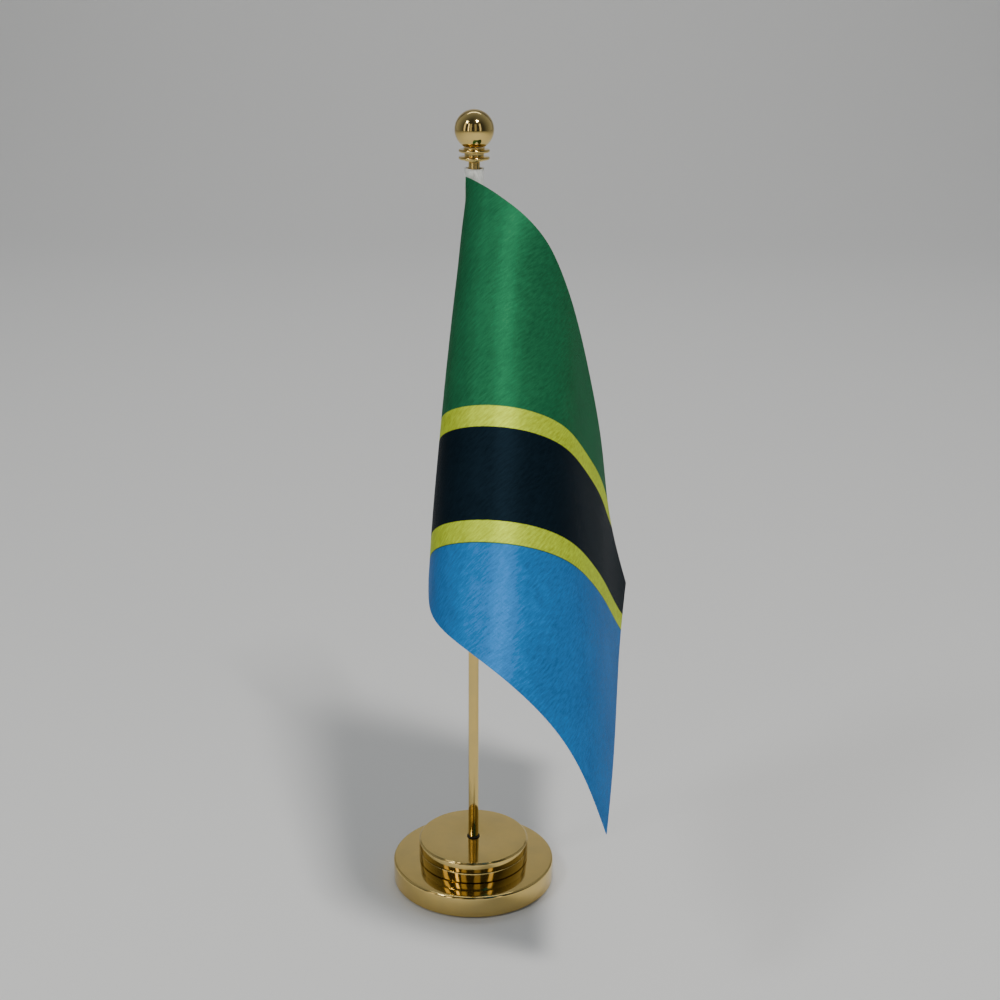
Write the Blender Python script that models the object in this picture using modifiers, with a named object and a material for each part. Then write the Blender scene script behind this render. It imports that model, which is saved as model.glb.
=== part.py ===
"""Desk flag stand: a gold base with a two-tier drum, a screw-in pole, a satin flag and a ball finial.

Metres, +Z up. The origin is the centre of the rubber pad's underside, and the pole stands on the Z axis.
The flag's cloth leaves the pole towards -Y, rolls round to +X and hangs back towards +Y.
"""
import math

import bmesh
import bpy
import numpy as np
from mathutils import Vector

# ---------------------------------------------------------------- driving dimensions
GAP = 0.0003  # between pieces that touch
SEGMENTS = 48  # sides of a large turned piece
FINE_SEGMENTS = 24  # sides of a small turned piece
CUT_MARGIN = 0.002  # how far a cutter runs past the wall that it cuts

BASE_RADIUS = 0.0343
BASE_HEIGHT = 0.0098  # floor to the base shell's top face
SHELL_WALL = 0.0012
SHELL_LIFT = 0.0006  # the shell's rim clears the table, and the pad stands proud of it
SHELL_EDGE = 0.0009  # rounded edges of the base shell

PAD_THICKNESS = 0.0015
WEIGHT_POCKET_RADIUS = 0.0105
WEIGHT_POCKET_DEPTH = 0.0040

DRUM_RADIUS = 0.0233
DRUM_TIER_HEIGHT = 0.0044  # each of the two stacked discs
DRUM_EDGE = 0.0008
NIPPLE_SOCKET_FLOOR = 0.0013  # metal left above the nipple's blind socket in the upper disc

NIPPLE_RADIUS = 0.0040  # hollow threaded tube that clamps the base, as in a lamp
CLAMP_WASHER_RADIUS = 0.0080
CLAMP_WASHER_THICKNESS = 0.0010
CLAMP_NUT_FLATS = 0.0120
CLAMP_NUT_HEIGHT = 0.0022

CHAMFER = 0.0003  # at the ends of a stud
THREAD_RADIUS = 0.00145  # a small machine thread joins the pole to the base, and the finial to the pole
FOOT_STUD_BELOW = 0.0068  # how far the foot stud reaches below the drum's top
FOOT_STUD_ABOVE = 0.0120  # how far it reaches up inside the pole
FOOT_RING_RADIUS = 0.0029
FOOT_RING_THICKNESS = 0.0008

POLE_RADIUS = 0.00215
POLE_LENGTH = 0.2847

FINIAL_STUD_BELOW = 0.0090  # how far the finial's stud reaches down inside the pole
FINIAL_STUD_IN_BALL = 0.0055
COLLAR_NECK_RADIUS = 0.0041
COLLAR_WAIST_RADIUS = 0.0037
COLLAR_RING_RADIUS = 0.0059
COLLAR_RING_THICKNESS = 0.0013
COLLAR_FOOT_HEIGHT = 0.00045
COLLAR_WAIST_HEIGHT = 0.0014
COLLAR_NECK_HEIGHT = 0.0006
BALL_RADIUS = 0.00745
BALL_STEPS = 14  # facets from the ball's top to its seat

FLAG_FLY = 0.210
FLAG_HOIST = 0.140
CLOTH_THICKNESS = 0.0005
FLAG_TOP_DROP = 0.0056  # from the finial's underside to the flag's top hoist corner
FLY_CELLS = 24
HOIST_CELLS = 8

SLEEVE_WALL = 0.0005
SLEEVE_CLEARANCE = 0.0004  # between the pole and the flattened sleeve's nearest side
SLEEVE_FLATTENING = 0.0007  # how much further the sleeve stands off at its two folds
SLEEVE_ABOVE_FLAG = 0.0030
SEAM_ANGLE = 219.0  # degrees round the pole from +X to the seam between sleeve and flag
SEAM_STANDOFF = 0.5  # the cloth's middle surface is half its thickness off the sleeve

STOP_RING_RADIUS = 0.0032
STOP_RING_HEIGHT = 0.0020

# ---------------------------------------------------------------- sizes that follow
SHELL_TOP = BASE_HEIGHT
WEIGHT_BOTTOM = PAD_THICKNESS + GAP
WEIGHT_TOP = SHELL_TOP - SHELL_WALL - GAP
POCKET_TOP = WEIGHT_BOTTOM + WEIGHT_POCKET_DEPTH
INNER_RADIUS = BASE_RADIUS - SHELL_WALL - GAP
NIPPLE_HOLE_RADIUS = NIPPLE_RADIUS + GAP
THREAD_HOLE_RADIUS = THREAD_RADIUS + GAP

DRUM_LOWER_BOTTOM = SHELL_TOP + GAP
DRUM_UPPER_BOTTOM = DRUM_LOWER_BOTTOM + DRUM_TIER_HEIGHT + GAP
DRUM_TOP = DRUM_UPPER_BOTTOM + DRUM_TIER_HEIGHT
NIPPLE_TOP = DRUM_TOP - NIPPLE_SOCKET_FLOOR - GAP
WASHER_TOP = POCKET_TOP - GAP
NUT_TOP = WASHER_TOP - CLAMP_WASHER_THICKNESS - GAP
NUT_BOTTOM = NUT_TOP - CLAMP_NUT_HEIGHT
NIPPLE_BOTTOM = PAD_THICKNESS + GAP

FOOT_RING_BOTTOM = DRUM_TOP + GAP
POLE_BOTTOM = FOOT_RING_BOTTOM + FOOT_RING_THICKNESS + GAP
POLE_TOP = POLE_BOTTOM + POLE_LENGTH

COLLAR_BOTTOM = POLE_TOP + GAP
LOWER_RING_BOTTOM = COLLAR_BOTTOM + COLLAR_FOOT_HEIGHT
LOWER_RING_TOP = LOWER_RING_BOTTOM + COLLAR_RING_THICKNESS
UPPER_RING_BOTTOM = LOWER_RING_TOP + COLLAR_WAIST_HEIGHT
UPPER_RING_TOP = UPPER_RING_BOTTOM + COLLAR_RING_THICKNESS
COLLAR_TOP = UPPER_RING_TOP + COLLAR_NECK_HEIGHT
BALL_SEAT = COLLAR_TOP + GAP
BALL_CENTRE = BALL_SEAT + math.sqrt(BALL_RADIUS**2 - COLLAR_NECK_RADIUS**2)
FINIAL_STUD_TOP = BALL_SEAT + FINIAL_STUD_IN_BALL

FLAG_TOP = POLE_TOP + GAP - FLAG_TOP_DROP
SLEEVE_TOP = FLAG_TOP + SLEEVE_ABOVE_FLAG
SLEEVE_BOTTOM = FLAG_TOP - FLAG_HOIST
SLEEVE_INNER_DEPTH = POLE_RADIUS + SLEEVE_CLEARANCE
SLEEVE_INNER_WIDTH = SLEEVE_INNER_DEPTH + SLEEVE_FLATTENING
STOP_RING_TOP = SLEEVE_BOTTOM - GAP

# The hanging cloth, as a coarse cage. One row for each quarter of the hoist, top to bottom, and in it one
# point for each sixth of the fly: how far the cloth stands to the right of the pole, how far in front of
# it, and how far it has dropped below its own place on the hoist, all as shares of the fly's length.
CLOTH_CAGE = (
    ((0.10, 0.095, 0.065), (0.175, 0.06, 0.21), (0.215, 0.01, 0.365),
     (0.245, -0.04, 0.52), (0.265, -0.09, 0.675), (0.305, -0.14, 0.83)),
    ((-0.005, 0.17, 0.015), (0.125, 0.205, 0.11), (0.185, 0.165, 0.255),
     (0.225, 0.115, 0.41), (0.255, 0.065, 0.565), (0.285, 0.015, 0.72)),
    ((-0.045, 0.175, 0.00), (0.03, 0.305, 0.035), (0.145, 0.315, 0.145),
     (0.20, 0.27, 0.295), (0.24, 0.22, 0.45), (0.27, 0.17, 0.605)),
    ((-0.055, 0.17, 0.00), (-0.04, 0.335, 0.01), (0.065, 0.435, 0.06),
     (0.165, 0.425, 0.19), (0.22, 0.38, 0.34), (0.255, 0.33, 0.495)),
    ((-0.065, 0.165, 0.00), (-0.07, 0.335, 0.005), (-0.03, 0.49, 0.015),
     (0.095, 0.555, 0.095), (0.185, 0.53, 0.23), (0.235, 0.485, 0.385)),
)


# ---------------------------------------------------------------- scene and materials
def clear_scene():
    for obj in list(bpy.data.objects):
        bpy.data.objects.remove(obj, do_unlink=True)


def new_collection(name):
    collection = bpy.data.collections.new(name)
    bpy.context.scene.collection.children.link(collection)
    return collection


def material(name, color, roughness, metallic=0.0):
    mat = bpy.data.materials.new(name)
    mat.use_nodes = True
    shader = mat.node_tree.nodes["Principled BSDF"]
    shader.inputs["Base Color"].default_value = (*color, 1.0)
    shader.inputs["Roughness"].default_value = roughness
    shader.inputs["Metallic"].default_value = metallic
    mat.diffuse_color = (*color, 1.0)
    return mat


def polished_gold():
    return material("polished_gold", (0.83, 0.60, 0.22), 0.12, metallic=1.0)


def cast_iron():
    return material("cast_iron", (0.18, 0.18, 0.19), 0.7, metallic=1.0)


def zinc_steel():
    return material("zinc_steel", (0.62, 0.63, 0.65), 0.35, metallic=1.0)


def black_rubber():
    return material("black_rubber", (0.02, 0.02, 0.02), 0.85)


def clear_soft_plastic():
    return material("clear_soft_plastic", (0.80, 0.82, 0.80), 0.4)


def green_satin():
    return material("green_satin", (0.03, 0.30, 0.10), 0.5)


def white_cloth():
    return material("white_cloth", (0.85, 0.85, 0.82), 0.7)


# ---------------------------------------------------------------- shared modelling
def axis_empty(name, height, parent=None):
    """An empty on the pole's axis, which what moves about that axis hangs from."""
    empty = bpy.data.objects.new(name, None)
    empty.empty_display_size = 0.01
    PARTS.objects.link(empty)
    return attach(empty, height, parent)


def attach(obj, height, parent):
    """Puts an object at a height on the pole's axis, under a parent that stands on the same axis."""
    obj["height"] = height
    obj.parent = parent
    obj.location = (0.0, 0.0, height - (parent["height"] if parent else 0.0))
    return obj


def new_object(name, mesh, mat, height, parent):
    obj = bpy.data.objects.new(name, mesh)
    mesh.materials.append(mat)
    PARTS.objects.link(obj)
    return attach(obj, height, parent)


def rounded_outline(corners, closed, steps=2):
    """An outline as (radius, height) points, from corners given as (radius, height, fillet radius)."""
    points = []
    count = len(corners)
    for i, (radius, height, fillet) in enumerate(corners):
        here = Vector((radius, height))
        if not fillet or (not closed and i in (0, count - 1)):
            points.append(here)
            continue
        back = (Vector(corners[i - 1][:2]) - here).normalized()
        ahead = (Vector(corners[(i + 1) % count][:2]) - here).normalized()
        half_turn = back.angle(ahead) / 2
        centre = here + (back + ahead).normalized() * fillet / math.sin(half_turn)
        first = here + back * fillet / math.tan(half_turn) - centre
        last = here + ahead * fillet / math.tan(half_turn) - centre
        points += [centre + fillet * first.slerp(last, step / steps) for step in range(steps + 1)]
    return points


def turned(name, outline, mat, parent, closed=True, segments=SEGMENTS):
    """A lathe-turned piece. A closed outline has a hole along its axis, and an open one ends on the axis."""
    height = min(point[1] for point in outline)
    mesh = bpy.data.meshes.new(name)
    edges = [(i, i + 1) for i in range(len(outline) - 1)]
    if closed:
        edges.append((len(outline) - 1, 0))
    mesh.from_pydata([(radius, 0.0, z - height) for radius, z in outline], edges, [])
    obj = new_object(name, mesh, mat, height, parent)
    screw = obj.modifiers.new("turn", "SCREW")
    screw.steps = segments
    screw.render_steps = segments
    screw.use_merge_vertices = True
    screw.merge_threshold = 0.00001
    screw.use_smooth_shade = True
    return obj


def ring(name, outer, inner, bottom, top, mat, parent, fillet=0.0, segments=SEGMENTS):
    """A plain turned ring, with its two outer edges rounded by the fillet."""
    corners = [(outer, top, fillet), (outer, bottom, fillet), (inner, bottom, 0.0), (inner, top, 0.0)]
    return turned(name, rounded_outline(corners, closed=True), mat, parent, segments=segments)


# ---------------------------------------------------------------- base and drum
def base_shell(mat, parent):
    outer = BASE_RADIUS
    inner = BASE_RADIUS - SHELL_WALL
    roof = SHELL_TOP - SHELL_WALL
    corners = [
        (NIPPLE_HOLE_RADIUS, SHELL_TOP, 0.0),
        (outer, SHELL_TOP, SHELL_EDGE),
        (outer, SHELL_LIFT, 0.4 * SHELL_WALL),
        (inner, SHELL_LIFT, 0.0),
        (inner, roof, 0.0),
        (NIPPLE_HOLE_RADIUS, roof, 0.0),
    ]
    return turned("base_shell", rounded_outline(corners, closed=True), mat, parent)


def base_weight(mat, parent):
    """A cast disc, with a pocket underneath for the washer and the nut."""
    corners = [
        (NIPPLE_HOLE_RADIUS, WEIGHT_TOP),
        (INNER_RADIUS, WEIGHT_TOP),
        (INNER_RADIUS, WEIGHT_BOTTOM),
        (WEIGHT_POCKET_RADIUS, WEIGHT_BOTTOM),
        (WEIGHT_POCKET_RADIUS, POCKET_TOP),
        (NIPPLE_HOLE_RADIUS, POCKET_TOP),
    ]
    return turned("base_weight", corners, mat, parent)


def base_pad(mat, parent):
    corners = [(0.0, PAD_THICKNESS), (INNER_RADIUS, PAD_THICKNESS), (INNER_RADIUS, 0.0), (0.0, 0.0)]
    return turned("base_pad", corners, mat, parent, closed=False)


def drum_lower(mat, parent):
    top = DRUM_LOWER_BOTTOM + DRUM_TIER_HEIGHT
    return ring("drum_lower", DRUM_RADIUS, NIPPLE_HOLE_RADIUS, DRUM_LOWER_BOTTOM, top, mat, parent, 0.0002)


def drum_upper(mat, parent):
    """The top disc. The nipple screws into its blind socket, and the pole's stud passes its small hole."""
    socket_top = DRUM_TOP - NIPPLE_SOCKET_FLOOR
    corners = [
        (THREAD_HOLE_RADIUS, DRUM_TOP, 0.0),
        (DRUM_RADIUS, DRUM_TOP, DRUM_EDGE),
        (DRUM_RADIUS, DRUM_UPPER_BOTTOM, 0.0002),
        (NIPPLE_HOLE_RADIUS, DRUM_UPPER_BOTTOM, 0.0),
        (NIPPLE_HOLE_RADIUS, socket_top, 0.0),
        (THREAD_HOLE_RADIUS, socket_top, 0.0),
    ]
    return turned("drum_upper", rounded_outline(corners, closed=True), mat, parent)


def centre_nipple(mat, parent):
    return ring(
        "centre_nipple", NIPPLE_RADIUS, THREAD_HOLE_RADIUS, NIPPLE_BOTTOM, NIPPLE_TOP, mat, parent,
        segments=FINE_SEGMENTS,
    )


def clamp_washer(mat, parent):
    bottom = WASHER_TOP - CLAMP_WASHER_THICKNESS
    return ring(
        "clamp_washer", CLAMP_WASHER_RADIUS, NIPPLE_HOLE_RADIUS, bottom, WASHER_TOP, mat, parent,
        segments=FINE_SEGMENTS,
    )


def clamp_nut(mat, parent):
    """A thin hexagon nut, cut through for the nipple."""
    corner_radius = CLAMP_NUT_FLATS / math.sqrt(3)
    hexagon = prism_mesh("clamp_nut", corner_radius, CLAMP_NUT_HEIGHT, 6)
    nut = new_object("clamp_nut", hexagon, mat, NUT_BOTTOM, parent)
    depth = CLAMP_NUT_HEIGHT + 2 * CUT_MARGIN
    cylinder = prism_mesh("nut_bore", NIPPLE_HOLE_RADIUS, depth, FINE_SEGMENTS)
    cutter = bpy.data.objects.new("nut_bore", cylinder)
    CUTTERS.objects.link(cutter)
    attach(cutter, NUT_BOTTOM - CUT_MARGIN, parent)
    cutter.hide_render = True
    cutter.display_type = "WIRE"
    bore = nut.modifiers.new("bore", "BOOLEAN")
    bore.operation = "DIFFERENCE"
    bore.object = cutter
    return nut


def prism_mesh(name, radius, height, sides):
    """An upright prism that stands on its own origin."""
    bm = bmesh.new()
    bmesh.ops.create_cone(
        bm, cap_ends=True, segments=sides, radius1=radius, radius2=radius, depth=height
    )
    bmesh.ops.translate(bm, verts=bm.verts, vec=(0.0, 0.0, height / 2))
    mesh = bpy.data.meshes.new(name)
    bm.to_mesh(mesh)
    bm.free()
    return mesh


# ---------------------------------------------------------------- pole
def foot_ring(mat, parent):
    """The small dark washer between the pole and the drum."""
    top = FOOT_RING_BOTTOM + FOOT_RING_THICKNESS
    return ring(
        "foot_ring", FOOT_RING_RADIUS, THREAD_HOLE_RADIUS, FOOT_RING_BOTTOM, top, mat, parent,
        0.0002, FINE_SEGMENTS,
    )


def pole_tube(mat, parent):
    return ring(
        "pole_tube", POLE_RADIUS, THREAD_HOLE_RADIUS, POLE_BOTTOM, POLE_TOP, mat, parent,
        segments=FINE_SEGMENTS,
    )


def threaded_stud(name, bottom, top, mat, parent):
    """A headless screw, drawn at its thread's outer diameter with chamfered ends."""
    tip = THREAD_RADIUS - CHAMFER
    corners = [
        (0.0, top), (tip, top), (THREAD_RADIUS, top - CHAMFER),
        (THREAD_RADIUS, bottom + CHAMFER), (tip, bottom), (0.0, bottom),
    ]
    return turned(name, corners, mat, parent, closed=False, segments=FINE_SEGMENTS)


# ---------------------------------------------------------------- finial
def finial_collar(mat, parent):
    """One turned piece: two thin rings with a waist between them, and the neck that the ball sits on."""
    rim = 0.35 * COLLAR_RING_THICKNESS
    corners = [
        (THREAD_HOLE_RADIUS, COLLAR_TOP, 0.0),
        (COLLAR_NECK_RADIUS, COLLAR_TOP, 0.0),
        (COLLAR_NECK_RADIUS, UPPER_RING_TOP, 0.0),
        (COLLAR_RING_RADIUS, UPPER_RING_TOP, rim),
        (COLLAR_RING_RADIUS, UPPER_RING_BOTTOM, rim),
        (COLLAR_WAIST_RADIUS, UPPER_RING_BOTTOM, 0.0),
        (COLLAR_WAIST_RADIUS, LOWER_RING_TOP, 0.0),
        (COLLAR_RING_RADIUS, LOWER_RING_TOP, rim),
        (COLLAR_RING_RADIUS, LOWER_RING_BOTTOM, rim),
        (COLLAR_WAIST_RADIUS, LOWER_RING_BOTTOM, 0.0),
        (COLLAR_WAIST_RADIUS, COLLAR_BOTTOM, 0.0),
        (THREAD_HOLE_RADIUS, COLLAR_BOTTOM, 0.0),
    ]
    return turned("finial_collar", rounded_outline(corners, closed=True), mat, parent, segments=32)


def finial_ball(mat, parent):
    """A ball with a flat seat on the neck and a blind threaded hole."""
    hole_top = FINIAL_STUD_TOP + GAP
    seat_angle = math.asin(COLLAR_NECK_RADIUS / BALL_RADIUS)
    sweep = math.pi - seat_angle
    outline = []
    for step in range(BALL_STEPS + 1):
        angle = sweep * step / BALL_STEPS
        outline.append((BALL_RADIUS * math.sin(angle), BALL_CENTRE + BALL_RADIUS * math.cos(angle)))
    outline[0] = (0.0, BALL_CENTRE + BALL_RADIUS)
    outline += [(THREAD_HOLE_RADIUS, BALL_SEAT), (THREAD_HOLE_RADIUS, hole_top), (0.0, hole_top)]
    return turned("finial_ball", outline, mat, parent, closed=False, segments=32)


# ---------------------------------------------------------------- flag
def stop_ring(mat, parent):
    """A tight clear ring on the pole that holds up the sleeve."""
    bottom = STOP_RING_TOP - STOP_RING_HEIGHT
    return ring(
        "stop_ring", STOP_RING_RADIUS, POLE_RADIUS + GAP, bottom, STOP_RING_TOP, mat, parent,
        0.0004, FINE_SEGMENTS,
    )


def flag_sleeve(mat, parent):
    """The folded band that is sewn to the hoist: a slightly flattened tube round the pole."""
    height = SLEEVE_TOP - SLEEVE_BOTTOM
    bm = bmesh.new()
    bmesh.ops.create_cone(
        bm, cap_ends=False, segments=FINE_SEGMENTS, radius1=1.0, radius2=1.0, depth=height
    )
    bmesh.ops.translate(bm, verts=bm.verts, vec=(0.0, 0.0, height / 2))
    bmesh.ops.scale(bm, verts=bm.verts, vec=(SLEEVE_INNER_WIDTH, SLEEVE_INNER_DEPTH, 1.0))
    mesh = bpy.data.meshes.new("flag_sleeve")
    bm.to_mesh(mesh)
    bm.free()
    mesh.shade_smooth()
    sleeve = new_object("flag_sleeve", mesh, mat, SLEEVE_BOTTOM, parent)
    wall = sleeve.modifiers.new("wall", "SOLIDIFY")
    wall.thickness = SLEEVE_WALL
    wall.offset = 1.0
    return sleeve


def seam_point():
    """Where the flag's middle surface meets the sleeve, seen from above."""
    angle = math.radians(SEAM_ANGLE)
    wide = SLEEVE_INNER_WIDTH + SLEEVE_WALL
    deep = SLEEVE_INNER_DEPTH + SLEEVE_WALL
    reach = wide * deep / math.hypot(deep * math.cos(angle), wide * math.sin(angle))
    reach += GAP + SEAM_STANDOFF * CLOTH_THICKNESS
    return Vector((reach * math.cos(angle), reach * math.sin(angle)))


def spline_weights(knots, share):
    """How much each of some evenly spaced knots counts, at a share of the way along a natural cubic spline."""
    system = np.zeros((knots, knots))
    curve = np.zeros((knots, knots))
    system[0, 0] = 1.0
    system[-1, -1] = 1.0
    for i in range(1, knots - 1):
        system[i, i - 1 : i + 2] = (1.0, 4.0, 1.0)
        curve[i, i - 1 : i + 2] = (6.0, -12.0, 6.0)
    bend = np.linalg.solve(system, curve)
    place = share * (knots - 1)
    left = min(int(place), knots - 2)
    after = place - left
    before = 1.0 - after
    weights = np.zeros(knots)
    weights[left] = before
    weights[left + 1] = after
    weights += ((before**3 - before) * bend[left] + (after**3 - after) * bend[left + 1]) / 6.0
    return weights


def cloth_knots():
    """The cage as places in metres, with the seam as each row's first point."""
    seam = seam_point()
    rows = []
    for i, row in enumerate(CLOTH_CAGE):
        hoist_height = FLAG_TOP - FLAG_HOIST * i / (len(CLOTH_CAGE) - 1)
        points = [(seam.x, seam.y, hoist_height)]
        for right, front, drop in row:
            points.append((right * FLAG_FLY, -front * FLAG_FLY, hoist_height - drop * FLAG_FLY))
        rows.append(points)
    return np.array(rows)


def flag_panel(mat, parent):
    """The cloth: a grid laid through the cage, and then given its thickness."""
    knots = cloth_knots()
    bm = bmesh.new()
    bmesh.ops.create_grid(bm, x_segments=FLY_CELLS, y_segments=HOIST_CELLS, size=0.5)
    for vert in bm.verts:
        along = spline_weights(knots.shape[1], min(max(vert.co.x + 0.5, 0.0), 1.0))
        down = spline_weights(knots.shape[0], min(max(0.5 - vert.co.y, 0.0), 1.0))
        place = np.einsum("i,j,ijk->k", down, along, knots)
        vert.co = Vector(place) - Vector((0.0, 0.0, SLEEVE_BOTTOM))
    mesh = bpy.data.meshes.new("flag_panel")
    bm.to_mesh(mesh)
    bm.free()
    mesh.shade_smooth()
    panel = new_object("flag_panel", mesh, mat, SLEEVE_BOTTOM, parent)
    cloth = panel.modifiers.new("cloth", "SOLIDIFY")
    cloth.thickness = CLOTH_THICKNESS
    cloth.offset = 0.0
    return panel


# ---------------------------------------------------------------- assembly
def build():
    gold = polished_gold()
    iron = cast_iron()
    steel = zinc_steel()
    rubber = black_rubber()

    base = axis_empty("base_axis", 0.0)
    base_pad(rubber, base)
    base_weight(iron, base)
    base_shell(gold, base)
    drum_lower(gold, base)
    drum_upper(gold, base)
    centre_nipple(steel, base)
    clamp_washer(steel, base)
    clamp_nut(steel, base)

    lift = axis_empty("pole_lift_axis", FOOT_RING_BOTTOM, base)
    foot_ring(rubber, lift)

    pole = axis_empty("pole_axis", POLE_BOTTOM, lift)
    pole_tube(gold, pole)
    threaded_stud("pole_foot_stud", DRUM_TOP - FOOT_STUD_BELOW, POLE_BOTTOM + FOOT_STUD_ABOVE, steel, pole)

    hold = axis_empty("stop_ring_axis", STOP_RING_TOP, pole)
    stop_ring(clear_soft_plastic(), hold)

    flag = axis_empty("flag_axis", SLEEVE_BOTTOM, hold)
    flag_sleeve(white_cloth(), flag)
    flag_panel(green_satin(), flag)

    finial_lift = axis_empty("finial_lift_axis", POLE_TOP, pole)
    threaded_stud("finial_stud", POLE_TOP - FINIAL_STUD_BELOW, FINIAL_STUD_TOP, steel, finial_lift)

    finial = axis_empty("finial_axis", COLLAR_BOTTOM, finial_lift)
    finial_collar(gold, finial)
    finial_ball(gold, finial)


clear_scene()
PARTS = new_collection("desk_flag_stand")
CUTTERS = new_collection("cutters")
build()
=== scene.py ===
"""Looks of the desk flag stand: gold plate, printed satin, rubber and thread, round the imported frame."""

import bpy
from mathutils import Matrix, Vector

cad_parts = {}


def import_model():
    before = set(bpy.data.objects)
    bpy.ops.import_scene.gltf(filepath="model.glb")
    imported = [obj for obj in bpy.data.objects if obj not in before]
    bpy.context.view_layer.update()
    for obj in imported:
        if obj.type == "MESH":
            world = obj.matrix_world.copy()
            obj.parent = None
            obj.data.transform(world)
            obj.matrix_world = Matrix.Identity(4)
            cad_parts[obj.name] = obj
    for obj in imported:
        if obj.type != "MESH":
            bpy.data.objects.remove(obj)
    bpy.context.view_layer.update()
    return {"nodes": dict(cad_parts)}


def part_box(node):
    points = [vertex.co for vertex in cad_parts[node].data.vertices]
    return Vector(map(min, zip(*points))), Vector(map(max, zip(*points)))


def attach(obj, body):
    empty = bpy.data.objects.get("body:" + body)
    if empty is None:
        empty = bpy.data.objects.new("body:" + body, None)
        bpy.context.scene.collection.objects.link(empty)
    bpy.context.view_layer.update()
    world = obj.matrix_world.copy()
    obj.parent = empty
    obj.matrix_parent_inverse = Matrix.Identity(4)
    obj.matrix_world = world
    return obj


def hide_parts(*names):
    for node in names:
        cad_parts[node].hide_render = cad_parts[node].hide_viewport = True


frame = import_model()

import math

import bpy
import numpy as np
from mathutils import Matrix, Vector

MM = 0.001

# ---------------------------------------------------------------- sizes, shared with the frame
FLY = 0.210
HOIST = 0.140
CLOTH_THICKNESS = 0.00028
SLEEVE_ABOVE_FLAG = 3.0 * MM
FLAG_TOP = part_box("flag_sleeve")[1][2] - SLEEVE_ABOVE_FLAG
SEAM = (-3.1 * MM, -2.5 * MM)  # where the cloth's hoist edge meets the sleeve, seen from above
THREAD_PITCH = 0.5 * MM
STUD_HOLE_RADIUS = 1.75 * MM
NIPPLE_HOLE_RADIUS = 4.3 * MM
NIPPLE_SOCKET_FLOOR = 1.3 * MM  # metal left above the nipple's socket in the drum
SHELL_WALL = 1.2 * MM
STOP_RING_BORE = 2.45 * MM
BALL_RADIUS = 7.45 * MM
BALL_SOCKET_DEPTH = 5.8 * MM
SLEEVE_WALL = 0.42 * MM
THREAD_DEPTH = 0.27 * MM
BAND_INNER = 17.1  # half the black band's width, in millimetres
BAND_OUTER = 24.9  # from the flag's diagonal to the yellow stripes' outer edges, in millimetres
INK_BLUR = 0.12  # half the width over which two inks meet, in millimetres
WASHER_THICKNESS = 0.42 * MM

# The hanging cloth's cage, as in the frame's own design. One row for each quarter of the hoist, top to
# bottom, and in it a point for each sixth of the fly: right of the pole, in front of it, and dropped below
# its own place on the hoist, all as shares of the fly's length.
CLOTH_CAGE = (
    ((0.10, 0.095, 0.065), (0.175, 0.06, 0.21), (0.215, 0.01, 0.365),
     (0.245, -0.04, 0.52), (0.265, -0.09, 0.675), (0.305, -0.14, 0.83)),
    ((-0.005, 0.17, 0.015), (0.125, 0.205, 0.11), (0.185, 0.165, 0.255),
     (0.225, 0.115, 0.41), (0.255, 0.065, 0.565), (0.285, 0.015, 0.72)),
    ((-0.045, 0.175, 0.00), (0.03, 0.305, 0.035), (0.145, 0.315, 0.145),
     (0.20, 0.27, 0.295), (0.24, 0.22, 0.45), (0.27, 0.17, 0.605)),
    ((-0.055, 0.17, 0.00), (-0.04, 0.335, 0.01), (0.065, 0.435, 0.06),
     (0.165, 0.425, 0.19), (0.22, 0.38, 0.34), (0.255, 0.33, 0.495)),
    ((-0.065, 0.165, 0.00), (-0.07, 0.335, 0.005), (-0.03, 0.49, 0.015),
     (0.095, 0.555, 0.095), (0.185, 0.53, 0.23), (0.235, 0.485, 0.385)),
)


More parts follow.
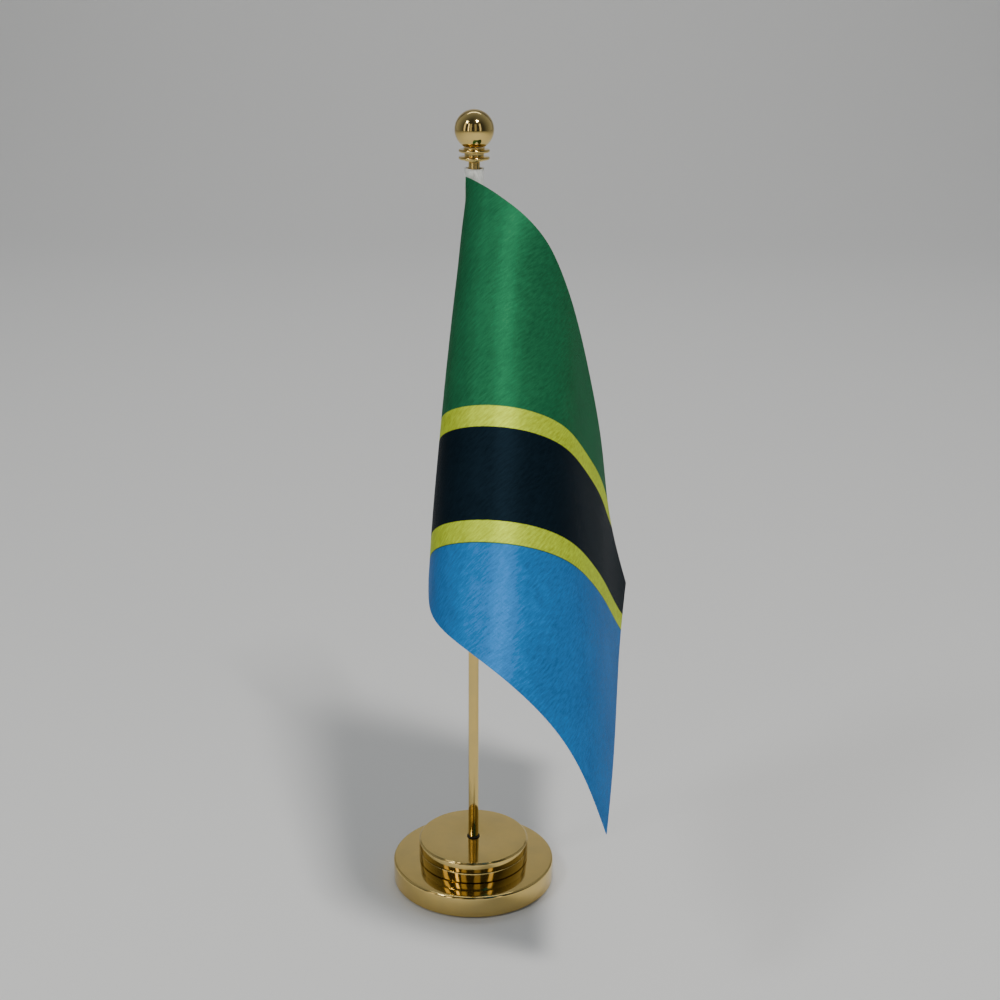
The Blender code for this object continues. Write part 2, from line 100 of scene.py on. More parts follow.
# ---------------------------------------------------------------- node helpers
class Nodes:
    """A material's node tree, with short ways to add and join nodes."""

    def __init__(self, name):
        self.material = bpy.data.materials.new(name)
        self.material.use_nodes = True
        self.tree = self.material.node_tree
        self.shader = self.tree.nodes["Principled BSDF"]

    def add(self, kind, **settings):
        node = self.tree.nodes.new(kind)
        for key, value in settings.items():
            setattr(node, key, value)
        return node

    def link(self, source, target):
        self.tree.links.new(source, target)

    def put(self, socket, value):
        """Sets a socket to a number or a colour, or joins another socket to it."""
        if isinstance(value, bpy.types.NodeSocket):
            self.link(value, socket)
        else:
            socket.default_value = value

    def set(self, **inputs):
        """Sets the shader's own sockets, with each name's underscores read as spaces."""
        for key, value in inputs.items():
            self.put(self.shader.inputs[key.replace("_", " ")], value)

    def math(self, operation, a, b=0.0, c=0.0, clamp=False):
        node = self.add("ShaderNodeMath", operation=operation, use_clamp=clamp)
        for socket, value in zip(node.inputs, (a, b, c)):
            self.put(socket, value)
        return node.outputs[0]

    def mix(self, factor, first, second, blend="MIX"):
        node = self.add("ShaderNodeMix", data_type="RGBA", blend_type=blend)
        self.put(node.inputs[0], factor)
        self.put(node.inputs[6], first)
        self.put(node.inputs[7], second)
        return node.outputs[2]

    def span(self, value, low, high, to_low=0.0, to_high=1.0, smooth=False):
        kind = "SMOOTHSTEP" if smooth else "LINEAR"
        node = self.add("ShaderNodeMapRange", interpolation_type=kind)
        for socket, number in zip(node.inputs, (value, low, high, to_low, to_high)):
            self.put(socket, number)
        return node.outputs[0]

    def place(self):
        return self.add("ShaderNodeTexCoord").outputs["Object"]

    def flat(self, layer):
        """A UV layer's two coordinates, apart."""
        split = self.add("ShaderNodeSeparateXYZ")
        self.link(self.add("ShaderNodeUVMap", uv_map=layer).outputs[0], split.inputs[0])
        return split.outputs[0], split.outputs[1]

    def join(self, x, y, z=0.0):
        node = self.add("ShaderNodeCombineXYZ")
        for socket, value in zip(node.inputs, (x, y, z)):
            self.put(socket, value)
        return node.outputs[0]

    def noise(self, vector, scale, detail=3.0, roughness=0.55):
        node = self.add("ShaderNodeTexNoise")
        self.link(vector, node.inputs["Vector"])
        node.inputs["Scale"].default_value = scale
        node.inputs["Detail"].default_value = detail
        node.inputs["Roughness"].default_value = roughness
        return node.outputs["Fac"]

    def bump(self, height, strength, distance, under=None):
        node = self.add("ShaderNodeBump")
        node.inputs["Strength"].default_value = strength
        node.inputs["Distance"].default_value = distance
        self.link(height, node.inputs["Height"])
        if under is not None:
            self.link(under, node.inputs["Normal"])
        return node.outputs[0]


# ---------------------------------------------------------------- materials
def gold_plate():
    """Polished gold plate: near a mirror, with faint turning marks and the haze of handling."""
    n = Nodes("gold_plate")
    place = n.place()
    split = n.add("ShaderNodeSeparateXYZ")
    n.link(place, split.inputs[0])
    radius = n.math("SQRT", n.math("ADD", n.math("MULTIPLY", split.outputs[0], split.outputs[0]),
                                   n.math("MULTIPLY", split.outputs[1], split.outputs[1])))
    haze = n.noise(place, 90.0, 4.0)
    across_grooves = n.math("MULTIPLY", radius, 2600.0)
    up_grooves = n.math("MULTIPLY", split.outputs[2], 2600.0)
    grooves = n.noise(n.join(across_grooves, up_grooves), 1.0, 2.0)
    specks = n.noise(place, 900.0, 2.0)
    n.set(
        Base_Color=n.mix(n.span(haze, 0.35, 0.7), (0.74, 0.54, 0.18, 1.0), (0.64, 0.48, 0.18, 1.0)),
        Metallic=1.0,
        Roughness=n.span(n.math("ADD", haze, n.math("MULTIPLY", specks, 0.35)), 0.35, 1.0, 0.04, 0.12),
        Normal=n.bump(grooves, 0.06, 0.02 * MM, n.bump(haze, 0.05, 0.15 * MM)),
    )
    return n.material


def satin(name, colour):
    """Woven satin. colour is given the tree and returns its base colour. The UV layer is in millimetres."""
    n = Nodes(name)
    along, down = n.flat("cloth")
    twill_step = n.math("ADD", along, n.math("MULTIPLY", down, 0.8))
    floats = n.math("SINE", n.math("MULTIPLY", twill_step, 2 * math.pi / 0.55))
    weft = n.math("SINE", n.math("MULTIPLY", down, 2 * math.pi / 0.30))
    streak_width = n.math("ADD", n.math("MULTIPLY", along, 1.27), n.math("MULTIPLY", down, 0.26))
    streak_length = n.math("SUBTRACT", n.math("MULTIPLY", along, 0.05), n.math("MULTIPLY", down, 0.245))
    streak_place = n.join(streak_width, streak_length)
    streaks = n.noise(streak_place, 1.0, 4.0, 0.65)
    clouds = n.noise(n.join(along, down), 0.045, 3.0)
    grain = n.noise(n.join(along, n.math("MULTIPLY", down, 2.4)), 2.2, 2.0)
    shade = n.math("ADD", n.span(streaks, 0.3, 0.7, -0.13, 0.13), n.span(clouds, 0.3, 0.7, -0.045, 0.045))
    shade = n.math("ADD", shade, n.span(grain, 0.3, 0.7, -0.04, 0.04))
    tone = n.math("ADD", shade, n.math("MULTIPLY", floats, 0.012))
    base = colour(n, along, down)
    factor = n.math("ADD", 1.0, n.math("MULTIPLY", tone, 2.0))
    scaled = n.add("ShaderNodeVectorMath", operation="SCALE")
    n.link(base, scaled.inputs[0])
    n.link(factor, scaled.inputs["Scale"])
    height = n.math("ADD", n.math("MULTIPLY", floats, 0.5), n.math("MULTIPLY", weft, 0.3))
    height = n.math("ADD", height, n.math("MULTIPLY", streaks, 3.2))
    n.set(
        Base_Color=scaled.outputs[0],
        Roughness=n.span(n.math("ADD", streaks, n.math("MULTIPLY", grain, 0.4)), 0.4, 1.0, 0.36, 0.52),
        Specular_IOR_Level=0.015,
        Specular_Tint=(0.1, 0.1, 0.1, 1.0),  # a satin's edges stay dark where plastic's would turn white
        Metallic=0.32,
        Normal=n.bump(height, 0.45, 0.06 * MM),
    )
    return n.material


def flag_colours(n, along, down):
    """Green, yellow, black, yellow and blue, by distance from the flag's diagonal, in millimetres."""
    diagonal = math.hypot(FLY, HOIST)
    across = n.math("SUBTRACT", n.math("ADD", n.math("MULTIPLY", along, HOIST / diagonal),
                                       n.math("MULTIPLY", down, FLY / diagonal)), FLY * HOIST / diagonal / MM)
    green = (0.020, 0.155, 0.066, 1.0)
    yellow = (0.58, 0.73, 0.04, 1.0)
    black = (0.006, 0.014, 0.022, 1.0)
    blue = (0.033, 0.20, 0.53, 1.0)
    ink_edge = n.math("MULTIPLY", n.math("SUBTRACT", n.noise(n.join(along, down), 1.6, 2.0), 0.5), 0.22)
    place = n.math("ADD", across, ink_edge)
    paint = n.mix(n.span(place, -BAND_OUTER - INK_BLUR, -BAND_OUTER + INK_BLUR), green, yellow)
    paint = n.mix(n.span(place, -BAND_INNER - INK_BLUR, -BAND_INNER + INK_BLUR), paint, black)
    paint = n.mix(n.span(place, BAND_INNER - INK_BLUR, BAND_INNER + INK_BLUR), paint, yellow)
    trap = BAND_OUTER + 0.35
    paint = n.mix(n.span(place, BAND_OUTER - INK_BLUR, BAND_OUTER + INK_BLUR), paint, (0.03, 0.12, 0.05, 1.0))
    return n.mix(n.span(place, trap - INK_BLUR, trap + INK_BLUR), paint, blue)


def plain_colour(colour):
    return lambda n, along, down: n.mix(0.0, colour, colour)


def rubber(name, colour, roughness, grain):
    """Moulded rubber or cast iron: matt, with a fine grain."""
    n = Nodes(name)
    place = n.place()
    fine = n.noise(place, grain, 4.0)
    broad = n.noise(place, grain * 0.08, 2.0)
    lighter = tuple(min(1.0, 1.7 * c + 0.004) for c in colour)
    n.set(
        Base_Color=n.mix(n.span(broad, 0.3, 0.7), (*colour, 1.0), (*lighter, 1.0)),
        Roughness=n.span(fine, 0.3, 0.7, roughness - 0.08, roughness + 0.08),
        Normal=n.bump(fine, 0.4, 0.06 * MM),
    )
    return n.material


def zinc_plate():
    n = Nodes("zinc_plate")
    place = n.place()
    bloom = n.noise(place, 420.0, 4.0)
    n.set(
        Base_Color=n.mix(bloom, (0.50, 0.51, 0.53, 1.0), (0.68, 0.67, 0.62, 1.0)),
        Metallic=1.0,
        Roughness=n.span(bloom, 0.3, 0.7, 0.25, 0.42),
        Normal=n.bump(n.noise(place, 2500.0, 2.0), 0.15, 0.01 * MM),
    )
    return n.material


def clear_plastic():
    n = Nodes("clear_soft_plastic")
    place = n.place()
    n.set(
        Base_Color=n.mix(n.noise(place, 600.0), (0.85, 0.87, 0.85, 1.0), (0.72, 0.75, 0.73, 1.0)),
        Roughness=n.span(n.noise(place, 1500.0), 0.3, 0.7, 0.22, 0.38),
        Subsurface_Weight=0.4,
        Subsurface_Scale=1.0 * MM,
        Normal=n.bump(n.noise(place, 1800.0), 0.2, 0.02 * MM),
    )
    return n.material


# ---------------------------------------------------------------- mesh helpers
def new_piece(name, vertices, faces, mat, body, smooth=True):
    mesh = bpy.data.meshes.new(name)
    mesh.from_pydata([tuple(v) for v in vertices], [], faces)
    mesh.materials.append(mat)
    obj = bpy.data.objects.new(name, mesh)
    bpy.context.scene.collection.objects.link(obj)
    mesh.validate()
    if smooth:
        mesh.shade_smooth()
        mesh.set_sharp_from_angle(angle=math.radians(38))
    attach(obj, body)
    return obj


def rounded(corners, steps=6):
    """A closed outline of (radius, height) points, from corners of (radius, height, fillet radius)."""
    points = []
    count = len(corners)
    for i, (radius, height, fillet) in enumerate(corners):
        here = Vector((radius, height))
        if not fillet:
            points.append(here)
            continue
        back = (Vector(corners[i - 1][:2]) - here).normalized()
        ahead = (Vector(corners[(i + 1) % count][:2]) - here).normalized()
        half_turn = back.angle(ahead) / 2
        centre = here + (back + ahead).normalized() * fillet / math.sin(half_turn)
        first = here + back * fillet / math.tan(half_turn) - centre
        last = here + ahead * fillet / math.tan(half_turn) - centre
        points += [centre + fillet * first.slerp(last, step / steps) for step in range(steps + 1)]
    return points


def lathe(name, outline, mat, body, segments=192, closed=True):
    """A turned piece about the pole's axis. The outline runs down its outer side, and a point with no radius
    is one shared vertex."""
    vertices = []
    rings = []
    for radius, height in outline:
        if radius < 1e-7:
            rings.append([len(vertices)] * segments)
            vertices.append((0.0, 0.0, height))
            continue
        start = len(vertices)
        for k in range(segments):
            angle = 2 * math.pi * k / segments
            vertices.append((radius * math.cos(angle), radius * math.sin(angle), height))
        rings.append(list(range(start, start + segments)))
    faces = []
    pairs = list(zip(rings, rings[1:]))
    if closed:
        pairs.append((rings[-1], rings[0]))
    for upper, lower in pairs:
        for k in range(segments):
            j = (k + 1) % segments
            corners = [upper[k], lower[k], lower[j], upper[j]]
            face = [c for i, c in enumerate(corners) if c not in corners[:i]]
            if len(face) > 2:
                faces.append(face)
    return new_piece(name, vertices, faces, mat, body)


# ---------------------------------------------------------------- base, drum and pole
def node_span(node):
    """A round node's radius, underside and top, as the frame gives them."""
    low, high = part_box(node)
    return high[0], low[2], high[2]


def gold_base(mat):
    radius, bottom, top = node_span("base_shell")
    inner, ceiling = radius - SHELL_WALL, top - SHELL_WALL
    corners = [
        (NIPPLE_HOLE_RADIUS, top, 0.0), (radius, top, 1.0 * MM), (radius, bottom, 0.45 * MM),
        (inner, bottom, 0.2 * MM), (inner, ceiling, 0.0), (NIPPLE_HOLE_RADIUS, ceiling, 0.0),
    ]
    shell = lathe("gold_base_disc", rounded(corners), mat, "base")
    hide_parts("base_shell")


def gold_drum(mat):
    radius, bottom, top = node_span("drum_lower")
    hole = NIPPLE_HOLE_RADIUS
    corners = [(hole, top, 0.0), (radius, top, 0.12 * MM), (radius, bottom, 0.2 * MM), (hole, bottom, 0.0)]
    lower = lathe("gold_drum_lower", rounded(corners, 4), mat, "base")
    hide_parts("drum_lower")
    radius, bottom, top = node_span("drum_upper")
    step = 0.35 * MM
    socket = top - NIPPLE_SOCKET_FLOOR
    corners = [
        (STUD_HOLE_RADIUS, top, 0.15 * MM), (radius - 2 * step, top, 0.25 * MM),
        (radius - 1.3 * step, top - step, 0.08 * MM), (radius, top - 1.6 * step, 0.45 * MM),
        (radius, bottom, 0.12 * MM), (hole, bottom, 0.0), (hole, socket, 0.0),
        (STUD_HOLE_RADIUS, socket, 0.0),
    ]
    upper = lathe("gold_drum_upper", rounded(corners, 5), mat, "base")
    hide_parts("drum_upper")


def rubber_pad(mat):
    """The pad, with a rounded edge and shallow concentric grips moulded into its underside."""
    radius, bottom, top = node_span("base_pad")
    outline = [(0.0, top), (radius - 0.3 * MM, top), (radius, top - 0.3 * MM), (radius, bottom + 0.25 * MM)]
    outline.append((radius - 0.25 * MM, bottom))
    pitch = 3.0 * MM
    groove = 0.5 * MM
    at = radius - 2.5 * MM
    while at > 2 * pitch:
        outline += [(at + groove, bottom), (at + 0.6 * groove, bottom + 0.35 * MM)]
        outline += [(at - 0.6 * groove, bottom + 0.35 * MM), (at - groove, bottom)]
        at -= pitch
    outline.append((0.0, bottom))
    pad = lathe("rubber_pad", outline, mat, "base", segments=128, closed=False)
    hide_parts("base_pad")


def pole_washer(mat):
    """A thin washer squeezed between the drum and the pole's foot, so no gap shows above or below it."""
    radius, bottom, top = node_span("foot_ring")
    radius -= 0.2 * MM
    bottom -= 0.28 * MM
    top = bottom + WASHER_THICKNESS
    corners = [
        (STUD_HOLE_RADIUS, top, 0.1 * MM), (radius, top, 0.25 * MM),
        (radius, bottom, 0.25 * MM), (STUD_HOLE_RADIUS, bottom, 0.0),
    ]
    washer = lathe("pole_washer", rounded(corners), mat, "pole_carriage", 96)
    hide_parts("foot_ring")


def gold_pole(mat):
    radius, bottom, top = node_span("pole_tube")
    bottom = node_span("foot_ring")[1] - 0.26 * MM + WASHER_THICKNESS
    bore = STUD_HOLE_RADIUS
    corners = [
        (bore, top, 0.1 * MM), (radius, top, 0.25 * MM),
        (radius, bottom, 0.25 * MM), (bore, bottom, 0.1 * MM),
    ]
    tube = lathe("gold_pole", rounded(corners, 4), mat, "pole", 96)
    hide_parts("pole_tube")


def threaded_rod(name, node, mat, body):
    """A headless screw with its real thread, cut as a ridge that winds round the rod."""
    radius, bottom, top = node_span(node)
    sides = 24
    per_turn = 8
    rows = round((top - bottom) / THREAD_PITCH * per_turn)
    vertices = []
    for row in range(rows + 1):
        height = bottom + (top - bottom) * row / rows
        end = min(row, rows - row) / per_turn
        taper = 0.35 * MM * max(0.0, 1.0 - end)
        for k in range(sides):
            phase = (row / per_turn - k / sides) % 1.0
            groove = THREAD_DEPTH * min(1.0, max(0.0, 1.6 * abs(2 * phase - 1) - 0.3))
            angle = 2 * math.pi * k / sides
            reach = radius - max(groove, taper)
            vertices.append((reach * math.cos(angle), reach * math.sin(angle), height))
    faces = [list(range(sides))[::-1], [rows * sides + k for k in range(sides)]]
    for row in range(rows):
        for k in range(sides):
            j = (k + 1) % sides
            faces.append([row * sides + k, row * sides + j, (row + 1) * sides + j, (row + 1) * sides + k])
    rod = new_piece(name, vertices, faces, mat, body)
    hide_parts(node)


def clear_stop(mat):
    radius, bottom, top = node_span("stop_ring")
    corners = [
        (STOP_RING_BORE, top, 0.3 * MM), (radius, top, 0.5 * MM),
        (radius, bottom, 0.5 * MM), (STOP_RING_BORE, bottom, 0.3 * MM),
    ]
    stop = lathe("clear_stop_ring", rounded(corners, 5), mat, "stop", 96)
    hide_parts("stop_ring")


# ---------------------------------------------------------------- finial
def gold_collar(mat):
    """Two thin rings with sharp rolled rims, a waist between them, and a flared neck under the ball."""
    radius, bottom, top = node_span("finial_collar")
    foot, ring, gap = 0.45 * MM, 1.3 * MM, 1.4 * MM
    waist, neck, rim = 3.7 * MM, 4.1 * MM, 0.5 * MM
    soft = 0.18 * MM
    first = bottom + foot
    second = first + ring + gap
    corners = [
        (STUD_HOLE_RADIUS, top, 0.0), (neck, top, 0.08 * MM), (neck - 0.1 * MM, second + ring, soft),
        (radius, second + ring - 0.1 * MM, rim), (radius, second + 0.1 * MM, rim), (waist, second, soft),
        (waist, first + ring, soft),
        (radius, first + ring - 0.1 * MM, rim), (radius, first + 0.1 * MM, rim), (waist, first, soft),
        (waist - 0.2 * MM, bottom, 0.12 * MM), (STUD_HOLE_RADIUS, bottom, 0.0),
    ]
    collar = lathe("gold_finial_collar", rounded(corners, 5), mat, "finial")
    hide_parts("finial_collar")


def gold_ball(mat):
    low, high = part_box("finial_ball")
    radius = BALL_RADIUS
    centre = high[2] - radius
    seat = low[2]
    sweep = math.pi - math.acos(max(-1.0, min(1.0, (centre - seat) / radius)))
    steps = 72
    outline = [(0.0, high[2])]
    for step in range(1, steps + 1):
        angle = sweep * step / steps
        outline.append((radius * math.sin(angle), centre + radius * math.cos(angle)))
    hole_top = seat + BALL_SOCKET_DEPTH
    outline += [(STUD_HOLE_RADIUS, seat), (STUD_HOLE_RADIUS, hole_top), (0.0, hole_top)]
    ball = lathe("gold_finial_ball", outline, mat, "finial", 160, closed=False)
    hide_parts("finial_ball")


# ---------------------------------------------------------------- cloth
def spline_weights(knots, share):
    """How much each evenly spaced knot counts at a share of the way along a natural cubic spline."""
    system = np.zeros((knots, knots))
    curve = np.zeros((knots, knots))
    system[0, 0] = 1.0
    system[-1, -1] = 1.0
    for i in range(1, knots - 1):
        system[i, i - 1 : i + 2] = (1.0, 4.0, 1.0)
        curve[i, i - 1 : i + 2] = (6.0, -12.0, 6.0)
    bend = np.linalg.solve(system, curve)
    place = share * (knots - 1)
    left = min(int(place), knots - 2)
    after = place - left
    before = 1.0 - after
    weights = np.zeros(knots)
    weights[left] = before
    weights[left + 1] = after
    weights += ((before**3 - before) * bend[left] + (after**3 - after) * bend[left + 1]) / 6.0
    return weights


def guide_surface(columns, rows):
    """Points on the cage's smooth surface, as an array of columns along the fly and rows down the hoist."""
    knots = []
    for i, row in enumerate(CLOTH_CAGE):
        height = FLAG_TOP - HOIST * i / (len(CLOTH_CAGE) - 1)
        knots.append([(*SEAM, height)] + [(x * FLY, -y * FLY, height - z * FLY) for x, y, z in row])
    knots = np.array(knots)
    along = np.array([spline_weights(knots.shape[1], i / (columns - 1)) for i in range(columns)])
    down = np.array([spline_weights(knots.shape[0], j / (rows - 1)) for j in range(rows)])
    return np.einsum("jr,ic,rck->ijk", down, along, knots)


def unstretched(points, rounds):
    """Lets a grid of points relax until each part of it has the cloth's own size, with the hoist held.

    Every pass moves the ends of the threads, the cross threads and the diagonals towards their flat lengths,
    smooths the bends a little, and leans on the guide so that the cloth keeps its roll."""
    columns, rows = points.shape[:2]
    dx, dy = FLY / (columns - 1), HOIST / (rows - 1)
    guide = points.copy()
    x = points.copy()
    steps = [(1, 0), (0, 1), (1, 1), (1, -1), (2, 1), (2, -1), (1, 2), (1, -2), (4, 0), (0, 4)]
    for turn in range(rounds):
        share = turn / rounds
        push = np.zeros_like(x)
        count = np.zeros((columns, rows, 1))
        for di, dj in steps:
            a = (slice(0, columns - di), slice(max(0, -dj), rows - max(0, dj)))
            b = (slice(di, columns), slice(max(0, dj), rows + min(0, dj)))
            gap = x[b] - x[a]
            length = np.linalg.norm(gap, axis=2, keepdims=True)
            wanted = math.hypot(di * dx, dj * dy)
            shift = 0.5 * gap * (1.0 - wanted / length)
            push[a] += shift
            push[b] -= shift
            count[a] += 1.0
            count[b] += 1.0
        x += 1.5 * push / count
        ease = 0.12 * (1.0 - share)
        bend = x[:-2] + x[2:] - 2 * x[1:-1]
        x[1:-1] += 0.25 * ease * bend
        bend = x[:, :-2] + x[:, 2:] - 2 * x[:, 1:-1]
        x[:, 1:-1] += 0.25 * ease * bend
        x += 0.02 * (1.0 - share) ** 2 * (guide - x)
        x[0] = guide[0]
    return x


def finer(points):
    """The grid with a point added between each two, on a smooth curve through its neighbours."""
    for axis in (0, 1):
        p = np.moveaxis(points, axis, 0)
        first = 2 * p[:1] - p[1:2]
        last = 2 * p[-1:] - p[-2:-1]
        padded = np.concatenate([first, p, last])
        middle = (9 * (p[:-1] + p[1:]) - padded[:-3] - padded[3:]) / 16
        out = np.empty((2 * len(p) - 1, *p.shape[1:]))
        out[0::2] = p
        out[1::2] = middle
        points = np.moveaxis(out, 0, axis)
    return points


def cloth_mesh(name, points, thickness, mat, body, width, height):
    """A closed sheet of cloth over a grid of points: two faces and a rim. The UV layer is in millimetres."""
    columns, rows = points.shape[:2]
    along = np.gradient(points, axis=0)
    down = np.gradient(points, axis=1)
    normal = np.cross(along, down)
    normal /= np.linalg.norm(normal, axis=2, keepdims=True)
    front = (points + 0.5 * thickness * normal).reshape(-1, 3)
    back = (points - 0.5 * thickness * normal).reshape(-1, 3)
    total = columns * rows
    at = np.arange(total).reshape(columns, rows)
    faces = []
    for i in range(columns - 1):
        for j in range(rows - 1):
            quad = [int(at[i, j]), int(at[i + 1, j]), int(at[i + 1, j + 1]), int(at[i, j + 1])]
            faces.append(quad)
            faces.append([c + total for c in reversed(quad)])
    edge = [int(c) for c in (*at[:-1, 0], *at[-1, :-1], *at[:0:-1, -1], *at[0, :0:-1])]
    for a, b in zip(edge, edge[1:] + edge[:1]):
        faces.append([b, a, a + total, b + total])
    piece = new_piece(name, np.concatenate([front, back]), faces, mat, body)
    layer = piece.data.uv_layers.new(name="cloth")
    for loop in piece.data.loops:
        spot = loop.vertex_index % total
        layer.data[loop.index].uv = (
            width / MM * (spot // rows) / (columns - 1),
            height / MM * (spot % rows) / (rows - 1),
        )
    return piece


def satin_flag(mat):
    coarse = unstretched(guide_surface(43, 29), 1500)
    fine = unstretched(finer(finer(coarse)), 120)
    flag = cloth_mesh("satin_flag", fine, CLOTH_THICKNESS, mat, "flag", FLY, HOIST)
    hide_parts("flag_panel")
    return flag


def white_sleeve(mat):
    """The folded band round the pole, faintly creased, with a turned corner at the top of its front."""
    low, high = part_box("flag_sleeve")
    wide, deep = high[0], high[1]
    around, up = 96, 150
    rings = []
    for inner in (0.0, SLEEVE_WALL):
        for j in range(up + 1):
            share = j / up
            for k in range(around):
                angle = 2 * math.pi * k / around
                right, front = math.cos(angle), -math.sin(angle)
                top = high[2] - max(0.0, front) * (0.3 + 0.2 * right) * MM
                height = low[2] + (top - low[2]) * share
                crease = 0.10 * MM * math.sin(height * 310 + 2 * math.sin(angle * 2))
                crease *= math.sin(angle * 3 + height * 95)
                # the turned corner's edge runs down to the right
                under = (high[2] - height) / MM - 3.5 * (right + 0.2)
                tuck = 0.16 * MM if front > 0.0 and under < 0.0 else 0.0
                reach = 0.97 - (inner + max(0.0, crease) + tuck) / deep
                rings.append((wide * reach * math.cos(angle), deep * reach * math.sin(angle), height))
    total = (up + 1) * around
    faces = []
    for j in range(up):
        for k in range(around):
            n = (k + 1) % around
            quad = [j * around + k, j * around + n, (j + 1) * around + n, (j + 1) * around + k]
            faces.append(quad)
            faces.append([total + c for c in reversed(quad)])
    for k in range(around):
        n = (k + 1) % around
        faces.append([n, k, total + k, total + n])
        top = up * around
        faces.append([top + k, top + n, total + top + n, total + top + k])
    sleeve = new_piece("white_sleeve", rings, faces, mat, "flag")
    layer = sleeve.data.uv_layers.new(name="cloth")
    for loop in sleeve.data.loops:
        spot = loop.vertex_index % total
        layer.data[loop.index].uv = (
            20.0 * (spot % around) / around,
            (high[2] - low[2]) / MM * (spot // around) / up,
        )
    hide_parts("flag_sleeve")


def sleeve_stitches(mat):
    """The row of stitches that closes the sleeve beside the cloth, each a short flattened bead of thread."""
    low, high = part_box("flag_sleeve")
    bottom, top = low[2] + 1.2 * MM, high[2] - 1.2 * MM
    length, pitch, wide, thick = 1.5 * MM, 2.3 * MM, 0.16 * MM, 0.12 * MM
    angle = math.radians(197)
    outward = Vector((math.cos(angle), math.sin(angle), 0.0))
    sideways = Vector((-outward.y, outward.x, 0.0))
    surface = Vector((0.97 * high[0] * outward.x, 0.97 * high[1] * outward.y, 0.0))
    rings, sides = 6, 8
    vertices, faces = [], []
    for number in range(int((top - bottom) / pitch)):
        middle = bottom + (number + 0.5) * pitch
        start = len(vertices)
        for ring in range(rings + 1):
            share = ring / rings
            fullness = math.sin(math.pi * (0.08 + 0.84 * share))
            for side in range(sides):
                turn = 2 * math.pi * side / sides
                spot = surface + outward * thick * fullness * math.cos(turn)
                spot += sideways * wide * fullness * math.sin(turn)
                spot.z = middle + length * (share - 0.5)
                vertices.append(spot)
        faces.append([start + side for side in reversed(range(sides))])
        faces.append([start + rings * sides + side for side in range(sides)])
        for ring in range(rings):
            for side in range(sides):
                after = (side + 1) % sides
                below, above = start + ring * sides, start + (ring + 1) * sides
                faces.append([below + side, below + after, above + after, above + side])
    new_piece("sleeve_stitches", vertices, faces, mat, "flag")


# ---------------------------------------------------------------- stage
def floor(size=6.0):
    """A pale table top that curves up into a backdrop, far behind the stand."""
    n = Nodes("pale_floor")
    n.set(Base_Color=(0.80, 0.80, 0.79, 1.0), Roughness=0.75)
    bend, back, up = 1.2, 1.6, 2.5
    profile = [(-size / 2, 0.0), (back, 0.0)]
    for step in range(1, 17):
        angle = math.pi / 2 * step / 16
        profile.append((back + bend * math.sin(angle), bend * (1 - math.cos(angle))))
    profile.append((back + bend, bend + up))
    vertices = [(side * size, y, z) for y, z in profile for side in (-0.5, 0.5)]
    faces = [[2 * i, 2 * i + 1, 2 * i + 3, 2 * i + 2] for i in range(len(profile) - 1)]
    mesh = bpy.data.meshes.new("stage_floor")
    mesh.from_pydata(vertices, [], faces)
    mesh.materials.append(n.material)
    mesh.shade_smooth()
    obj = bpy.data.objects.new("stage_floor", mesh)
    bpy.context.scene.collection.objects.link(obj)


def area_light(name, place, target, size, power, colour=(1.0, 1.0, 1.0), height=None):
    data = bpy.data.lights.new(name, "AREA")
    data.shape = "RECTANGLE"
    data.size = size
    data.size_y = height or size
    data.energy = power
    data.color = colour
    obj = bpy.data.objects.new(name, data)
    obj.location = place
    obj.rotation_euler = (Vector(target) - Vector(place)).to_track_quat("-Z", "Y").to_euler()
    bpy.context.scene.collection.objects.link(obj)


def lights():
    """A small key light high in front and to the right, a light for the backdrop, and tall narrow windows for
    the gold to reflect."""
    middle = (0.0, 0.0, 0.17)
    area_light("key", (0.42, -0.85, 1.55), middle, 0.22, 19.0, (1.0, 0.98, 0.95))
    area_light("overhead_left", (-0.75, -0.55, 1.15), middle, 0.20, 3.0, (0.95, 0.98, 1.0))
    area_light("backdrop", (0.0, 0.9, 1.9), (0.0, 2.4, 0.7), 1.2, 14.0)
    windows = ((-58, 0.30, 1.3), (-33, 0.16, 1.8), (-19, 0.30, 0.6), (9, 0.36, 0.5), (37, 0.26, 1.1))
    for number, (turn, width, power) in enumerate(windows):
        angle = math.radians(turn)
        place = (1.7 * math.sin(angle), -1.7 * math.cos(angle), 0.75)
        area_light("window_%d" % number, place, middle, width, power, (1.0, 0.93, 0.82), 1.3)


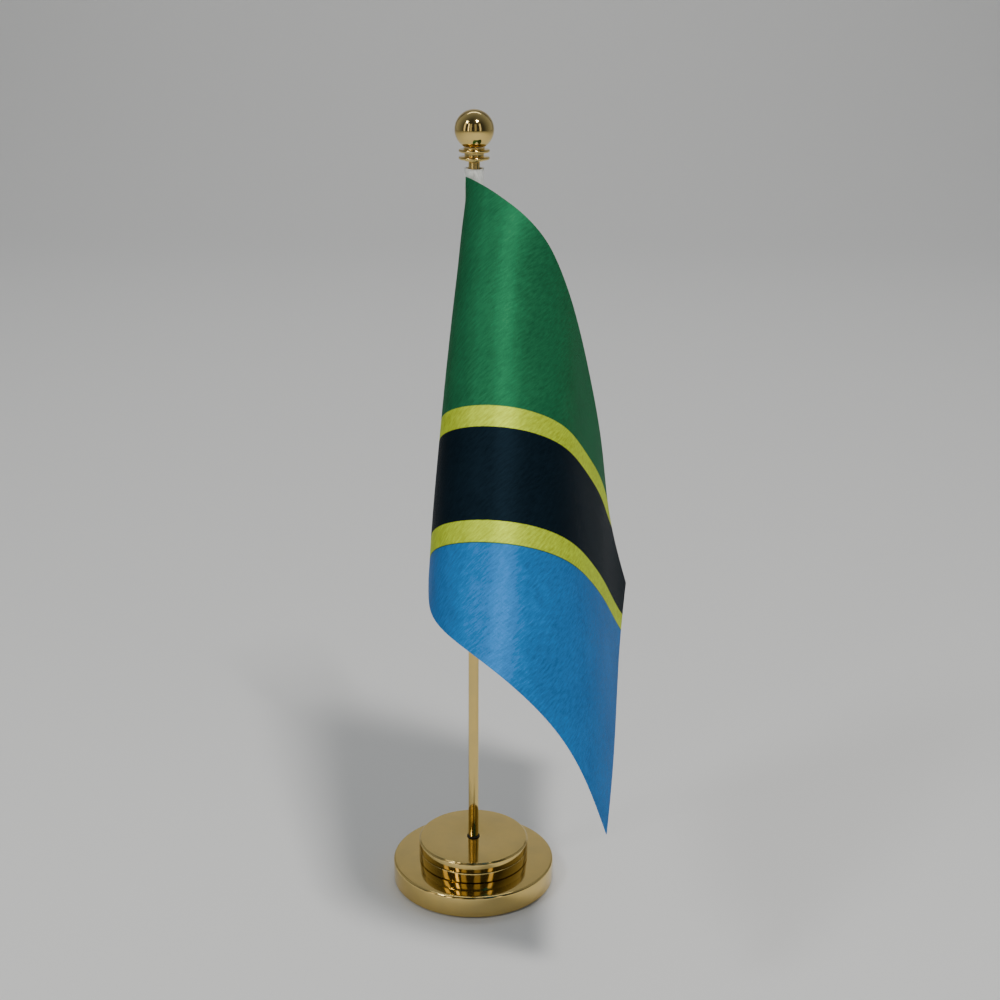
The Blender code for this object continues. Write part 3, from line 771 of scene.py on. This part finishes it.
def world():
    """A dim room, darkest behind the camera and lighter behind the stand."""
    data = bpy.data.worlds.new("studio")
    bpy.context.scene.world = data
    data.use_nodes = True
    tree = data.node_tree
    coords = tree.nodes.new("ShaderNodeTexCoord")
    split = tree.nodes.new("ShaderNodeSeparateXYZ")
    span = tree.nodes.new("ShaderNodeMapRange")
    ramp = tree.nodes.new("ShaderNodeValToRGB")
    tree.links.new(coords.outputs["Generated"], split.inputs[0])
    tree.links.new(split.outputs[1], span.inputs[0])
    span.inputs[1].default_value = -1.0
    span.inputs[2].default_value = 1.0
    tree.links.new(span.outputs[0], ramp.inputs[0])
    ramp.color_ramp.elements[0].position = 0.25
    ramp.color_ramp.elements[0].color = (0.06, 0.065, 0.07, 1.0)
    ramp.color_ramp.elements[1].position = 0.85
    ramp.color_ramp.elements[1].color = (0.50, 0.53, 0.56, 1.0)
    background = tree.nodes["Background"]
    tree.links.new(ramp.outputs[0], background.inputs[0])
    background.inputs[1].default_value = 0.8


def camera():
    """The photograph's view: a phone held a little above the stand, tilted down."""
    data = bpy.data.cameras.new("camera")
    data.sensor_width = 36.0
    data.lens = 58.93
    data.clip_start = 0.01
    obj = bpy.data.objects.new("camera", data)
    tilt_down, roll = math.radians(18.41), 0.0065
    obj.matrix_world = (
        Matrix.Translation((0.0105, -0.623, 0.3789))
        @ Matrix.Rotation(math.pi / 2 - tilt_down, 4, "X")
        @ Matrix.Rotation(roll, 4, "Z")
    )
    bpy.context.scene.collection.objects.link(obj)
    bpy.context.scene.camera = obj


# ---------------------------------------------------------------- assembly
def finish_hidden_nodes(steel, iron):
    """The pieces inside the base keep the frame's own shapes and get their real finishes."""
    finishes = {"base_weight": iron, "centre_nipple": steel, "clamp_washer": steel, "clamp_nut": steel}
    for node, mat in finishes.items():
        for slot in frame["nodes"][node].material_slots:
            slot.material = mat


camera()
gold = gold_plate()
steel = zinc_plate()
black = rubber("black_rubber", (0.016, 0.016, 0.017), 0.78, 2600.0)
gold_base(gold)
gold_drum(gold)
rubber_pad(black)
pole_washer(rubber("washer_rubber", (0.012, 0.011, 0.010), 0.55, 4000.0))
gold_pole(gold)
threaded_rod("pole_stud_thread", "pole_foot_stud", steel, "pole")
threaded_rod("finial_stud_thread", "finial_stud", steel, "finial_carriage")
clear_stop(clear_plastic())
gold_collar(gold)
gold_ball(gold)
finish_hidden_nodes(steel, rubber("rough_iron", (0.09, 0.09, 0.095), 0.8, 900.0))
flag = satin_flag(satin("printed_satin", flag_colours))
white_sleeve(satin("white_satin", plain_colour((0.86, 0.87, 0.84, 1.0))))
sleeve_stitches(rubber("sewing_thread", (0.62, 0.62, 0.58), 0.7, 3000.0))
floor()
lights()
world()
